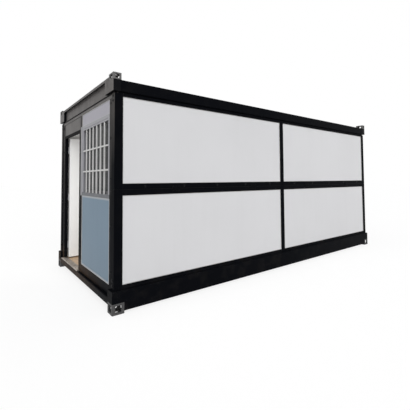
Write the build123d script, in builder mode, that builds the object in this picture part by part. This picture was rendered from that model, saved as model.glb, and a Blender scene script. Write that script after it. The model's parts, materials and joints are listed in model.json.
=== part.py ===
"""Folding container house: two welded frames, two pairs of fold-down side walls and two end walls.

Millimetres, +Z up, origin under the middle of the house. The door end looks along -X and is
called the front. The right side wall looks along -Y and the left one along +Y.
"""

import os

from build123d import *

os.makedirs("parts", exist_ok=True)

# Outer size of the two frames
frame_length = 5800.0
frame_width = 2480.0

# Corner castings: hollow blocks that take hooks above and anchors below
base_block_length = 140.0
roof_block_length = 95.0
stub_length = 84.0
block_width = 140.0
block_wall = 12.0
base_block_height = 118.0
base_block_drop = 25.0
roof_block_height = 75.0
lift_slot_length = 56.0
lift_slot_width = 40.0
side_opening_share = 0.52
end_opening_width = 76.0
opening_height_share = 0.62
opening_corner_radius = 15.0

# Base frame
base_beam_depth = 222.0
base_end_lift = 54.0
floor_recess_depth = 90.0
beam_flange = 70.0
beam_steel = 5.0
bend_radius = 8.0
joist_width = 60.0
joist_depth = 100.0
joist_steel = 4.0
joist_count = 9
floor_thickness = 18.0
fitting_gap = 0.5

# Roof frame
roof_beam_depth = 130.0
end_beam_upstand = 48.0
end_beam_recess = 42.0
end_lip_depth = 32.0
end_foot_reach = 10.0
end_plate_length = 265.0
ceiling_rise = 60.0
ceiling_thickness = 12.0
roof_sheet_drop = 12.0
roof_rib_height = 30.0
roof_rib_count = 20
roof_rib_flat_share = 0.34
roof_rib_slope_share = 0.16
roof_sheet_steel = 3.0

# Side walls: a lower and an upper half that meet at the fold
wall_setback = 25.0
wall_frame_depth = 90.0
corner_post_width = 100.0
middle_post_width = 90.0
edge_rail_depth = 50.0
fold_rail_depth = 64.0
fold_gap = 4.0
panel_height = 975.0
panel_recess = 10.0
lining_thickness = 12.0
section_radius = 5.0
post_notch_height = 18.0
post_notch_depth = 40.0

# Fold hinges along the meeting rails
hinge_count = 4
hinge_length = 110.0
hinge_leaf_height = 42.0
hinge_leaf_steel = 4.0
hinge_barrel_radius = 8.0
hinge_pin_radius = 4.0
hinge_knuckle_gap = 1.0
pin_clearance = 0.08

# End walls
end_wall_inset = 10.0
end_wall_thickness = 50.0
end_wall_side_gap = 6.0
end_wall_top_gap = 10.0
stile_width = 80.0
head_rail_depth = 47.0
foot_rail_depth = 25.0
jamb_width = 95.0
jamb_offset = 78.5
end_panel_inset = 6.0
rear_middle_width = 80.0

# Window in the front wall
window_sill_height = 985.0
transom_height = 164.0
window_bar_width = 45.0
window_lip = 8.0
sash_bar_width = 38.0
sash_thickness = 14.0
sash_overlap = 38.0
sash_clearance = 2.0
sash_setback = 20.0
glass_thickness = 5.0

# Door in the front wall
door_frame_width = 30.0
door_header_height = 189.0
door_stop_depth = 5.0
door_stop_reach = 12.0
sill_height = 16.0
sill_overhang = 32.0
sill_nose_radius = 6.0
leaf_thickness = 40.0
leaf_hinge_gap = 5.0
leaf_free_gap = 8.0
leaf_top_gap = 6.0
leaf_foot_gap = 8.0
leaf_edge_radius = 3.0
press_margin = 110.0
press_gap = 90.0
press_depth = 5.0
press_corner_radius = 18.0
press_split_share = 0.46
knuckle_radius = 9.0
knuckle_offset = 10.0
door_pin_radius = 5.0
knuckle_length = 55.0
door_hinge_leaf_width = 32.0
door_hinge_leaf_steel = 3.0
door_hinge_shares = (0.1, 0.5, 0.9)

# Lever handle
handle_height_share = 0.48
handle_backset = 62.0
plate_width = 42.0
plate_height = 230.0
plate_steel = 4.0
plate_corner_radius = 14.0
lever_reach = 46.0
lever_length = 118.0
lever_radius = 8.5
lever_bend_radius = 16.0
cylinder_radius = 11.0
cylinder_drop = 78.0
cylinder_length = 6.0

# Levels and faces that follow from the sizes above
half_length = frame_length / 2
half_width = frame_width / 2
wall_half_height = edge_rail_depth + panel_height + fold_rail_depth + fold_gap / 2
base_bottom = base_block_drop
base_top = base_bottom + base_beam_depth
floor_level = base_top - floor_recess_depth
base_end_bottom = base_bottom + base_end_lift
fold_level = base_top + wall_half_height
roof_bottom = fold_level + wall_half_height
roof_top = roof_bottom + roof_beam_depth
top_level = roof_top + roof_block_height
end_beam_top = roof_top + end_beam_upstand
side_beam_half = half_length - stub_length
end_beam_half = half_width - block_width
end_plate_inside = half_width - end_plate_length
base_block_inside = half_length - base_block_length
stub_x = half_length - stub_length / 2
block_y = half_width - block_width / 2
web_face = half_width - beam_steel
end_web_outer = half_length - end_beam_recess
end_web_inner = end_web_outer - beam_steel
wall_outer = half_width - wall_setback
wall_inner = wall_outer - wall_frame_depth
post_end = half_length - wall_setback
post_inside = post_end - corner_post_width
end_wall_outer = post_end - end_wall_inset
end_wall_inner = end_wall_outer - end_wall_thickness
end_wall_half = wall_inner - end_wall_side_gap
end_wall_top = roof_bottom - end_wall_top_gap
head_bottom = end_wall_top - head_rail_depth
stile_inside = end_wall_half - stile_width
stub_clear = end_beam_half - fitting_gap
foot_top = base_top + foot_rail_depth
jamb_right = jamb_offset - jamb_width / 2
jamb_left = jamb_offset + jamb_width / 2

sides = {"right": -1, "left": 1}
ends = {"front": -1, "rear": 1}
halves = {"lower": -1, "upper": 1}


def span(sign, near, far):
    """Low and high end of a stretch between two distances from the middle, on the named side."""
    return tuple(sorted((sign * near, sign * far)))


def middle(stretch):
    return (stretch[0] + stretch[1]) / 2


def extent(stretch):
    return stretch[1] - stretch[0]


def slab(x, y, z, mode=Mode.ADD):
    """Adds a block that fills three stretches to the part being built."""
    with Locations((middle(x), middle(y), middle(z))):
        Box(extent(x), extent(y), extent(z), mode=mode)


def save(piece, name):
    piece.part.label = name
    export_step(piece.part, f"parts/{name}.step")


def corner_castings(name, length, low, high, mouth):
    """Four hollow castings, slotted in the mouth face and open in every standing face."""
    block_x = half_length - length / 2
    corners = [(x * block_x, y * block_y) for x in ends.values() for y in sides.values()]
    rise = high - low
    opening_height = rise * opening_height_share
    with BuildPart() as castings:
        with BuildSketch(Plane.XY.offset(low)):
            with Locations(*corners):
                RectangleRounded(length, block_width, section_radius)
        extrude(amount=rise)
        with BuildSketch(Plane.XY.offset(low + block_wall)):
            with Locations(*corners):
                Rectangle(length - 2 * block_wall, block_width - 2 * block_wall)
        extrude(amount=rise - 2 * block_wall, mode=Mode.SUBTRACT)
        with BuildSketch(Plane.XY.offset(mouth)):
            with Locations(*corners):
                SlotOverall(lift_slot_length, lift_slot_width)
        extrude(amount=rise / 2, both=True, mode=Mode.SUBTRACT)
        with BuildSketch(Plane.XZ):
            with Locations(*[(x * block_x, low + rise / 2) for x in ends.values()]):
                RectangleRounded(length * side_opening_share, opening_height, opening_corner_radius)
        extrude(amount=frame_width, both=True, mode=Mode.SUBTRACT)
        with BuildSketch(Plane.YZ):
            with Locations(*[(y * block_y, low + rise / 2) for y in sides.values()]):
                RectangleRounded(end_opening_width, opening_height, opening_corner_radius)
        extrude(amount=frame_length, both=True, mode=Mode.SUBTRACT)
    save(castings, name)


def corner_stubs(sign, low, high):
    """Adds the two short posts at the corners of an end beam to the part being built."""
    with BuildSketch(Plane.XY.offset(low)) as stubs:
        with Locations(*[(sign * stub_x, y * block_y) for y in sides.values()]):
            Rectangle(stub_length, block_width)
        tips = stubs.vertices().group_by(Axis.X)[0 if sign < 0 else -1].sort_by(Axis.Y)
        fillet([tips[0], tips[-1]], radius=section_radius)
    extrude(stubs.sketch, amount=high - low)


def channel(plane, sign, outer, low, depth, half_span):
    """A folded channel whose web is the outer face and whose flanges point inward."""
    with BuildPart() as beam:
        with BuildSketch(plane):
            with Locations((sign * (outer - beam_flange / 2), low + depth / 2)):
                Rectangle(beam_flange, depth)
            with Locations((sign * (outer - beam_flange / 2 - beam_steel), low + depth / 2)):
                Rectangle(beam_flange, depth - 2 * beam_steel, mode=Mode.SUBTRACT)
        extrude(amount=half_span, both=True)
        rims = beam.edges().filter_by(Axis((0, 0, 0), plane.z_dir))
        folds = rims.group_by(Axis((0, 0, 0), plane.x_dir))[0 if sign < 0 else -1]
        fillet(folds, radius=bend_radius)
    return beam


# Base frame
corner_castings("base_corner_blocks", base_block_length, 0, base_block_height, 0)
for name, sign in sides.items():
    with BuildPart() as base_side:
        add(channel(Plane.YZ, sign, half_width, base_bottom, base_beam_depth, side_beam_half).part)
        for end in ends.values():
            seat = span(end, base_block_inside, side_beam_half)
            seat_depth = span(sign, half_width - beam_flange, half_width)
            slab(seat, seat_depth, (base_bottom, base_block_height), mode=Mode.SUBTRACT)
    save(base_side, f"base_beam_{name}")
for name, sign in ends.items():
    end_depth = floor_level - base_end_bottom
    with BuildPart() as base_end:
        add(channel(Plane.XZ, sign, half_length, base_end_bottom, end_depth, end_beam_half).part)
        corner_stubs(sign, base_block_height, base_top)
    save(base_end, f"base_beam_{name}")

joist_top = floor_level - floor_thickness
joist_reach = base_block_inside - joist_width
with BuildPart() as base_joists:
    with BuildSketch(Plane.XZ):
        pitch = 2 * joist_reach / (joist_count - 1)
        with GridLocations(pitch, 0, joist_count, 1):
            with Locations((0, joist_top - joist_depth / 2)):
                Rectangle(joist_width, joist_depth)
                inner = (joist_width - 2 * joist_steel, joist_depth - 2 * joist_steel)
                Rectangle(*inner, mode=Mode.SUBTRACT)
    extrude(amount=web_face, both=True)
save(base_joists, "base_joists")

floor_x = half_length - beam_flange - fitting_gap
floor_y = web_face - fitting_gap
with BuildPart() as floor_board:
    with BuildSketch(Plane.XY.offset(joist_top)):
        Rectangle(2 * floor_x, 2 * floor_y)
        with Locations(*[(x * stub_x, y * block_y) for x in (-1, 1) for y in (-1, 1)]):
            notch = (stub_length + 2 * fitting_gap, block_width + 2 * fitting_gap)
            Rectangle(*notch, mode=Mode.SUBTRACT)
    extrude(amount=floor_thickness)
save(floor_board, "floor_board")

# Roof frame
corner_castings("roof_corner_blocks", roof_block_length, roof_top, top_level, top_level)
for name, sign in sides.items():
    roof_side = channel(Plane.YZ, sign, half_width, roof_bottom, roof_beam_depth, side_beam_half)
    save(roof_side, f"roof_beam_{name}")
for name, sign in ends.items():
    profile = [
        (sign * end_web_inner, roof_bottom),
        (sign * (end_web_outer + end_foot_reach), roof_bottom),
        (sign * (end_web_outer + end_foot_reach), roof_bottom + beam_steel),
        (sign * end_web_outer, roof_bottom + beam_steel),
        (sign * end_web_outer, end_beam_top - beam_steel),
        (sign * (half_length - beam_steel), end_beam_top - beam_steel),
        (sign * (half_length - beam_steel), end_beam_top - end_lip_depth),
        (sign * half_length, end_beam_top - end_lip_depth),
        (sign * half_length, end_beam_top),
        (sign * end_web_inner, end_beam_top),
    ]
    with BuildPart() as roof_end:
        with BuildSketch(Plane.XZ):
            with BuildLine():
                Polyline(*profile, close=True)
            make_face()
        extrude(amount=end_beam_half, both=True)
        for across in sides.values():
            plate = span(across, end_plate_inside, end_beam_half)
            slab(span(sign, end_web_outer, half_length), plate, (roof_bottom, end_beam_top))
        corner_stubs(sign, roof_bottom, roof_top)
    save(roof_end, f"roof_beam_{name}")

notch_corners = [(x * stub_x, y * block_y) for x in (-1, 1) for y in (-1, 1)]
notch = (stub_length + 2 * fitting_gap, block_width + 2 * fitting_gap)
with BuildPart() as ceiling_panel:
    with BuildSketch(Plane.XY.offset(roof_bottom + ceiling_rise)):
        Rectangle(2 * end_web_inner, 2 * web_face)
        with Locations(*notch_corners):
            Rectangle(*notch, mode=Mode.SUBTRACT)
    extrude(amount=ceiling_thickness)
save(ceiling_panel, "ceiling_panel")

sheet_top = roof_top - roof_sheet_drop
rib_pitch = 2 * end_web_inner / roof_rib_count
rib_flat = rib_pitch * roof_rib_flat_share
rib_slope = rib_pitch * roof_rib_slope_share
upper_line = []
for rib in range(roof_rib_count):
    start = -end_web_inner + rib * rib_pitch
    valley = sheet_top - roof_rib_height
    upper_line += [
        (start, valley),
        (start + rib_flat, valley),
        (start + rib_flat + rib_slope, sheet_top),
        (start + rib_pitch - rib_slope, sheet_top),
    ]
upper_line.append((end_web_inner, sheet_top - roof_rib_height))
lower_line = [(x, z - roof_sheet_steel) for x, z in reversed(upper_line)]
with BuildPart() as roof_sheet:
    with BuildSketch(Plane.XZ):
        with BuildLine():
            Polyline(*upper_line, *lower_line, close=True)
        make_face()
    extrude(amount=web_face, both=True)
    with BuildSketch(Plane.XY.offset(roof_bottom)):
        with Locations(*notch_corners):
            Rectangle(*notch)
    extrude(amount=roof_beam_depth, mode=Mode.SUBTRACT)
save(roof_sheet, "roof_sheet")

# Side walls
bays = [span(sign, middle_post_width / 2, post_inside) for sign in ends.values()]
post_stretches = [
    span(-1, post_inside, post_end),
    (-middle_post_width / 2, middle_post_width / 2),
    span(1, post_inside, post_end),
]
for side, sign in sides.items():
    depth = span(sign, wall_inner, wall_outer)
    panel_depth = span(sign, wall_inner, wall_outer - panel_recess)
    for half, up in halves.items():
        fold_edge = fold_level + up * fold_gap / 2
        far_edge = fold_level + up * wall_half_height
        rise = tuple(sorted((fold_edge, far_edge)))
        fold_rail = tuple(sorted((fold_edge, fold_edge + up * fold_rail_depth)))
        edge_rail = tuple(sorted((far_edge, far_edge - up * edge_rail_depth)))
        clear = tuple(sorted((fold_edge + up * fold_rail_depth, far_edge - up * edge_rail_depth)))

        with BuildPart() as posts:
            for stretch in post_stretches:
                slab(stretch, depth, rise)
            fillet(posts.edges().filter_by(Axis.Z), radius=section_radius)
            if half == "upper":
                notch_rise = (far_edge - post_notch_height, far_edge)
                for end in ends.values():
                    tip = span(end, post_end - post_notch_depth, post_end)
                    slab(tip, depth, notch_rise, mode=Mode.SUBTRACT)
        save(posts, f"{side}_{half}_posts")

        with BuildPart() as rails:
            for bay in bays:
                slab(bay, depth, fold_rail)
                slab(bay, depth, edge_rail)
            fillet(rails.edges().filter_by(Axis.X), radius=section_radius)
        save(rails, f"{side}_{half}_rails")

        with BuildPart() as panels:
            for bay in bays:
                slab(bay, panel_depth, clear)
        save(panels, f"{side}_{half}_panels")

    lining_depth = span(sign, wall_inner - lining_thickness, wall_inner)
    with BuildPart() as lining:
        slab((-end_wall_inner, end_wall_inner), lining_depth, (floor_level, fold_level - fold_gap / 2))
        slab((-end_wall_inner, end_wall_inner), lining_depth, (fold_level + fold_gap / 2, roof_bottom))
    save(lining, f"{side}_lining")

    barrel_y = sign * (wall_outer + hinge_barrel_radius)
    leaf_depth = span(sign, wall_outer, wall_outer + hinge_leaf_steel)
    knuckle = (hinge_length - 2 * hinge_knuckle_gap) / 3
    hinge_pitch = 2 * post_inside / hinge_count
    with BuildPart() as fold_hinges:
        for index in range(hinge_count):
            centre = (index - (hinge_count - 1) / 2) * hinge_pitch
            reach = (centre - hinge_length / 2, centre + hinge_length / 2)
            with BuildPart() as lower_leaf:
                slab(reach, leaf_depth, (fold_level - hinge_leaf_height, fold_level - fold_gap / 2))
                with BuildSketch(Plane.YZ.offset(reach[0])):
                    with Locations((barrel_y, fold_level)):
                        Circle(hinge_barrel_radius)
                extrude(amount=hinge_length)
                with BuildSketch(Plane.YZ.offset(centre - knuckle / 2 - hinge_knuckle_gap)):
                    with Locations((barrel_y, fold_level)):
                        Circle(hinge_barrel_radius + hinge_knuckle_gap)
                        Circle(hinge_pin_radius, mode=Mode.SUBTRACT)
                extrude(amount=knuckle + 2 * hinge_knuckle_gap, mode=Mode.SUBTRACT)
            add(lower_leaf.part)
            with BuildPart() as upper_leaf:
                clear_reach = (centre - knuckle / 2, centre + knuckle / 2)
                slab(reach, leaf_depth, (fold_level + fold_gap / 2, fold_level + hinge_leaf_height))
                with BuildSketch(Plane.YZ.offset(reach[0])):
                    with Locations((barrel_y, fold_level)):
                        Circle(hinge_barrel_radius + hinge_knuckle_gap)
                extrude(amount=hinge_length, mode=Mode.SUBTRACT)
                slab(clear_reach, leaf_depth, (fold_level + fold_gap / 2, fold_level + hinge_leaf_height))
                with BuildSketch(Plane.YZ.offset(clear_reach[0])):
                    with Locations((barrel_y, fold_level)):
                        Circle(hinge_barrel_radius)
                extrude(amount=knuckle)
                with BuildSketch(Plane.YZ.offset(clear_reach[0])):
                    with Locations((barrel_y, fold_level)):
                        Circle(hinge_pin_radius + pin_clearance)
                extrude(amount=knuckle, mode=Mode.SUBTRACT)
            add(upper_leaf.part)
    save(fold_hinges, f"{side}_fold_hinges")

# Front wall
stub_top = base_top + fitting_gap
front_depth = span(-1, end_wall_inner, end_wall_outer)
front_panel_depth = span(-1, end_wall_inner, end_wall_outer - end_panel_inset)
window_bay = (-stile_inside, jamb_right)
door_bay = (jamb_left, stile_inside)
window_low = base_top + window_sill_height
window_high = head_bottom - transom_height
door_frame_top = head_bottom - door_header_height
door_head = door_frame_top - door_frame_width

with BuildPart() as front_posts:
    slab(front_depth, span(-1, stile_inside, end_wall_half), (floor_level, head_bottom))
    slab(front_depth, (jamb_right, jamb_left), (floor_level, head_bottom))
    slab(front_depth, span(1, stile_inside, end_wall_half), (floor_level, head_bottom))
    fillet(front_posts.edges().filter_by(Axis.Z), radius=section_radius)
    for sign in sides.values():
        slab(front_depth, span(sign, stub_clear, end_wall_half), (floor_level, stub_top), mode=Mode.SUBTRACT)
save(front_posts, "front_wall_posts")

with BuildPart() as front_head:
    slab(front_depth, (-end_wall_half, end_wall_half), (head_bottom, end_wall_top))
    fillet(front_head.edges().filter_by(Axis.Y), radius=section_radius)
save(front_head, "front_head_rail")

with BuildPart() as front_foot:
    slab(front_depth, window_bay, (floor_level, foot_top))
    fillet(front_foot.edges().filter_by(Axis.Y), radius=section_radius)
save(front_foot, "front_foot_rail")

with BuildPart() as front_lower:
    slab(front_panel_depth, window_bay, (foot_top, window_low))
save(front_lower, "front_lower_panel")

with BuildPart() as transom:
    slab(front_panel_depth, window_bay, (window_high, head_bottom))
save(transom, "front_transom_panel")

with BuildPart() as header:
    slab(front_panel_depth, door_bay, (door_frame_top, head_bottom))
save(header, "door_header_panel")

# Sliding window
window_opening = (window_bay[0] + window_bar_width, window_bay[1] - window_bar_width)
window_clear = (window_low + window_bar_width, window_high - window_bar_width)
with BuildPart() as window_frame:
    slab(front_depth, window_bay, (window_low, window_high))
    slab(front_depth, window_opening, window_clear, mode=Mode.SUBTRACT)
    rim = window_frame.faces().sort_by(Axis.X)[0].inner_wires()[0].edges()
    chamfer(rim, length=window_lip)
save(window_frame, "window_frame")

sash_faces = (end_wall_outer - sash_setback, end_wall_outer - sash_setback - sash_thickness - sash_clearance)
sash_middle = middle(window_opening)
sash_spans = [
    (window_opening[0] + sash_clearance, sash_middle + sash_overlap / 2),
    (sash_middle - sash_overlap / 2, window_opening[1] - sash_clearance),
]
sash_rise = (window_clear[0], window_clear[1] - sash_clearance)
with BuildPart() as sashes:
    for face, across in zip(sash_faces, sash_spans):
        inner_across = (across[0] + sash_bar_width, across[1] - sash_bar_width)
        inner_rise = (sash_rise[0] + sash_bar_width, sash_rise[1] - sash_bar_width)
        slab(span(-1, face - sash_thickness, face), across, sash_rise)
        slab(span(-1, face - sash_thickness, face), inner_across, inner_rise, mode=Mode.SUBTRACT)
save(sashes, "window_sashes")

with BuildPart() as panes:
    for face, across in zip(sash_faces, sash_spans):
        pane_middle = face - sash_thickness / 2
        pane_depth = span(-1, pane_middle - glass_thickness / 2, pane_middle + glass_thickness / 2)
        pane_across = (across[0] + sash_bar_width, across[1] - sash_bar_width)
        slab(pane_depth, pane_across, (sash_rise[0] + sash_bar_width, sash_rise[1] - sash_bar_width))
save(panes, "window_glass")

# Doorway
door_clear = (door_bay[0] + door_frame_width, door_bay[1] - door_frame_width)
sill_top = floor_level + sill_height
with BuildPart() as door_frame:
    slab(front_depth, door_bay, (sill_top, door_frame_top))
    slab(front_depth, door_clear, (sill_top, door_head), mode=Mode.SUBTRACT)
    stop_depth = span(-1, end_wall_outer - door_stop_depth, end_wall_outer)
    slab(stop_depth, door_clear, (sill_top, door_head))
    stop_clear = (door_clear[0] + door_stop_reach, door_clear[1] - door_stop_reach)
    slab(stop_depth, stop_clear, (sill_top, door_head - door_stop_reach), mode=Mode.SUBTRACT)
save(door_frame, "door_frame")

with BuildPart() as door_sill:
    slab(span(-1, end_wall_inner, end_wall_outer + sill_overhang), door_bay, (floor_level, sill_top))
    nose = door_sill.edges().filter_by(Axis.Y).group_by(Axis.Z)[-1].sort_by(Axis.X)[0]
    fillet(nose, radius=sill_nose_radius)
save(door_sill, "door_sill")

# Door leaf, built standing open at right angles to the wall
pin_x = -end_wall_inner + knuckle_offset
pin_y = door_clear[1] - leaf_hinge_gap / 2
leaf_width = extent(door_clear) - leaf_hinge_gap - leaf_free_gap
leaf_x = (pin_x + leaf_hinge_gap / 2, pin_x + leaf_hinge_gap / 2 + leaf_width)
leaf_y = (pin_y - knuckle_offset - leaf_thickness, pin_y - knuckle_offset)
leaf_z = (sill_top + leaf_foot_gap, door_head - leaf_top_gap)
press_height = extent(leaf_z) - 2 * press_margin - press_gap
press_low = press_height * press_split_share
press_high = press_height - press_low
press_centres = [
    (leaf_z[0] + press_margin + press_low / 2, press_low),
    (leaf_z[1] - press_margin - press_high / 2, press_high),
]
with BuildPart() as door_leaf:
    slab(leaf_x, leaf_y, leaf_z)
    fillet(door_leaf.edges().filter_by(Axis.Z), radius=leaf_edge_radius)
    for level, height in press_centres:
        with BuildSketch(Plane.XZ.offset(-leaf_y[0])):
            with Locations((middle(leaf_x), level)):
                RectangleRounded(leaf_width - 2 * press_margin, height, press_corner_radius)
        extrude(amount=-press_depth, mode=Mode.SUBTRACT)
        with BuildSketch(Plane.XZ.offset(-leaf_y[1])):
            with Locations((middle(leaf_x), level)):
                RectangleRounded(leaf_width - 2 * press_margin, height, press_corner_radius)
        extrude(amount=press_depth, mode=Mode.SUBTRACT)
save(door_leaf, "door_leaf")

# Lift-off door hinges: a pin fixed to the frame below, a bored knuckle on the leaf above
hinge_levels = [leaf_z[0] + share * extent(leaf_z) for share in door_hinge_shares]
with BuildPart() as frame_hinges:
    for level in hinge_levels:
        with BuildSketch(Plane.XY.offset(level - knuckle_length)):
            with Locations((pin_x, pin_y)):
                Circle(knuckle_radius)
        extrude(amount=knuckle_length)
        with BuildSketch(Plane.XY.offset(level)):
            with Locations((pin_x, pin_y)):
                Circle(door_pin_radius)
        extrude(amount=knuckle_length)
        leaf_steel_x = (-end_wall_inner, -end_wall_inner + door_hinge_leaf_steel)
        slab(leaf_steel_x, (pin_y, pin_y + door_hinge_leaf_width), (level - knuckle_length, level))
save(frame_hinges, "door_frame_hinges")

with BuildPart() as leaf_hinges:
    for level in hinge_levels:
        foot = level + hinge_knuckle_gap
        leaf_steel_y = (leaf_y[1], leaf_y[1] + door_hinge_leaf_steel)
        plate_x = (leaf_x[0], leaf_x[0] + door_hinge_leaf_width)
        slab(plate_x, leaf_steel_y, (foot, foot + knuckle_length))
        with BuildSketch(Plane.XY.offset(foot)):
            with Locations((pin_x, pin_y)):
                Circle(knuckle_radius)
        extrude(amount=knuckle_length)
        with BuildSketch(Plane.XY.offset(foot)):
            with Locations((pin_x, pin_y)):
                Circle(door_pin_radius + pin_clearance)
        extrude(amount=knuckle_length, mode=Mode.SUBTRACT)
save(leaf_hinges, "door_leaf_hinges")

# Lever handles on both faces of the leaf
handle_x = leaf_x[1] - handle_backset
handle_z = leaf_z[0] + handle_height_share * extent(leaf_z)
with BuildPart() as door_handles:
    for face, out in ((leaf_y[0], -1), (leaf_y[1], 1)):
        plate_face = face + out * plate_steel
        with BuildSketch(Plane.XZ.offset(-face)):
            with Locations((handle_x, handle_z - cylinder_drop / 2)):
                RectangleRounded(plate_width, plate_height, plate_corner_radius)
        extrude(amount=-out * plate_steel)
        with BuildSketch(Plane.XZ.offset(-plate_face)):
            with Locations((handle_x, handle_z - cylinder_drop)):
                Circle(cylinder_radius)
        extrude(amount=-out * cylinder_length)
        with BuildLine() as lever_path:
            reach_y = plate_face + out * lever_reach
            FilletPolyline(
                (handle_x, plate_face, handle_z),
                (handle_x, reach_y, handle_z),
                (handle_x - lever_length, reach_y, handle_z),
                radius=lever_bend_radius,
            )
        with BuildSketch(Plane.XZ.offset(-plate_face)):
            with Locations((handle_x, handle_z)):
                Circle(lever_radius)
        sweep(path=lever_path.line)
save(door_handles, "door_handles")

# Rear wall, plain
rear_depth = span(1, end_wall_inner, end_wall_outer)
rear_panel_depth = span(1, end_wall_inner, end_wall_outer - end_panel_inset)
rear_bays = [span(sign, rear_middle_width / 2, stile_inside) for sign in sides.values()]
with BuildPart() as rear_posts:
    slab(rear_depth, span(-1, stile_inside, end_wall_half), (floor_level, head_bottom))
    slab(rear_depth, (-rear_middle_width / 2, rear_middle_width / 2), (floor_level, head_bottom))
    slab(rear_depth, span(1, stile_inside, end_wall_half), (floor_level, head_bottom))
    fillet(rear_posts.edges().filter_by(Axis.Z), radius=section_radius)
    for sign in sides.values():
        slab(rear_depth, span(sign, stub_clear, end_wall_half), (floor_level, stub_top), mode=Mode.SUBTRACT)
save(rear_posts, "rear_wall_posts")

with BuildPart() as rear_rails:
    slab(rear_depth, (-end_wall_half, end_wall_half), (head_bottom, end_wall_top))
    for bay in rear_bays:
        slab(rear_depth, bay, (floor_level, foot_top))
    fillet(rear_rails.edges().filter_by(Axis.Y), radius=section_radius)
save(rear_rails, "rear_wall_rails")

with BuildPart() as rear_panels:
    for bay in rear_bays:
        slab(rear_panel_depth, bay, (foot_top, head_bottom))
save(rear_panels, "rear_wall_panels")
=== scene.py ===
"""Folding container house: finishes, small fittings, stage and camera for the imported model."""

import json
import math

import bmesh
import bpy
from bpy.props import FloatProperty, FloatVectorProperty, IntProperty, PointerProperty
from mathutils import Matrix, Vector


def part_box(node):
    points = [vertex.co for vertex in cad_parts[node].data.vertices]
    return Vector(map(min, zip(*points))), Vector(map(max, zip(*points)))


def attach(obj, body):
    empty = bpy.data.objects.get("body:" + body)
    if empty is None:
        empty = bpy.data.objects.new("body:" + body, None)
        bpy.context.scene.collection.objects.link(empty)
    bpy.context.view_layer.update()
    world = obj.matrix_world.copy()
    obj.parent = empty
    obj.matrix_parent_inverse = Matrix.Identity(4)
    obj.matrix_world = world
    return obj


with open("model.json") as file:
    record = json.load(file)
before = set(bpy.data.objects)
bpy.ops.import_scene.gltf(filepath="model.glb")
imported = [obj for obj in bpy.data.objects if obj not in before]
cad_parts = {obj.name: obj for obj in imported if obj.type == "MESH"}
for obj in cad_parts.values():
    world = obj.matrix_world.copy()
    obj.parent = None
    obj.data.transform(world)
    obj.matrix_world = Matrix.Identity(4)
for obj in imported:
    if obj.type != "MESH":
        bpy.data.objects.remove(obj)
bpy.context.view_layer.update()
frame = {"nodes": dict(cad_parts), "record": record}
NODES = frame["nodes"]

bl_info = {
    "name": "Folding container house",
    "version": (1, 0, 0),
    "blender": (4, 5, 0),
    "location": "View3D > Sidebar > House",
    "description": "Dresses a folding container house and sets its stage",
    "category": "Add Mesh",
}

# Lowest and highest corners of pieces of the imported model, in metres
SIDE_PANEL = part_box("right_upper_panels")
SIDE_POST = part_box("right_upper_posts")
LOWER_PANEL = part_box("right_lower_panels")
LOWER_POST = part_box("right_lower_posts")
FOLD_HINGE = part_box("right_fold_hinges")
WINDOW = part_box("window_frame")
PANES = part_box("window_glass")
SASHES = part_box("window_sashes")
FRONT_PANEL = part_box("front_lower_panel")
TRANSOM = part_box("front_transom_panel")
DOOR_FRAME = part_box("door_frame")
FRAME_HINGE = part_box("door_frame_hinges")
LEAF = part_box("door_leaf")
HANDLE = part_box("door_handles")
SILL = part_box("door_sill")
REAR_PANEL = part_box("rear_wall_panels")
ROOF_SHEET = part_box("roof_sheet")
BASE_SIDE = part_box("base_beam_right")
BASE_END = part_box("base_beam_front")
ROOF_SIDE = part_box("roof_beam_right")
ROOF_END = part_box("roof_beam_front")
ROOF_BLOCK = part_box("roof_corner_blocks")

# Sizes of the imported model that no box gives
STILE_WIDTH = 0.080
MIDDLE_POST_HALF = 0.045
REAR_MIDDLE_HALF = 0.040
END_WALL_GAP = 0.006
BEAM_FLANGE = 0.070
BASE_END_DEPTH = 0.078
WINDOW_RIM = 0.045
PANE_SPANS = ((-0.954, -0.523), (-0.485, -0.054))
PANE_DEPTHS = (-2.838, -2.822)
DOOR_FRAME_WIDTH = 0.030
DOOR_STOP_DEPTH = 0.005
DOOR_STOP_REACH = 0.012
DOOR_HINGE_SHARES = (0.1, 0.5, 0.9)
DOOR_HINGE_STEEL = 0.003
HANDLE_PLATE_WIDTH = 0.042
HANDLE_PLATE_STEEL = 0.004
FOLD_HINGES = 4
FOLD_HINGE_LENGTH = 0.110
FOLD_HINGE_STEEL = 0.004
ROOF_RIBS = 20
ROOF_BLOCK_LENGTH = 0.095

# Faces and levels that follow
FOLD = (LOWER_POST[1][2] + SIDE_POST[0][2]) / 2
PANEL_FACE = -SIDE_PANEL[0][1]
POST_FACE = -SIDE_POST[0][1]
POST_END = SIDE_POST[1][0]
WALL_FACE = -WINDOW[0][0]
STILE_CENTRE = STILE_WIDTH / 2 - FRONT_PANEL[0][1]
DOOR_CLEAR = (DOOR_FRAME[0][1] + DOOR_FRAME_WIDTH, DOOR_FRAME[1][1] - DOOR_FRAME_WIDTH)
DOOR_HEAD = DOOR_FRAME[1][2] - DOOR_FRAME_WIDTH
HINGE_LEVELS = [LEAF[0][2] + share * (LEAF[1][2] - LEAF[0][2]) for share in DOOR_HINGE_SHARES]
HANDLE_LEVEL = (HANDLE[0][2] + HANDLE[1][2]) / 2

# A tone that two pieces share, and the ways that brushed metal is drawn out
WINDOW_TONE = (0.33, 0.33, 0.355)
EVEN, LEVEL, UPRIGHT = (1.0, 1.0, 1.0), (1.0, 1.0, 8.0), (6.0, 6.0, 1.0)


# Settings


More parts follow.
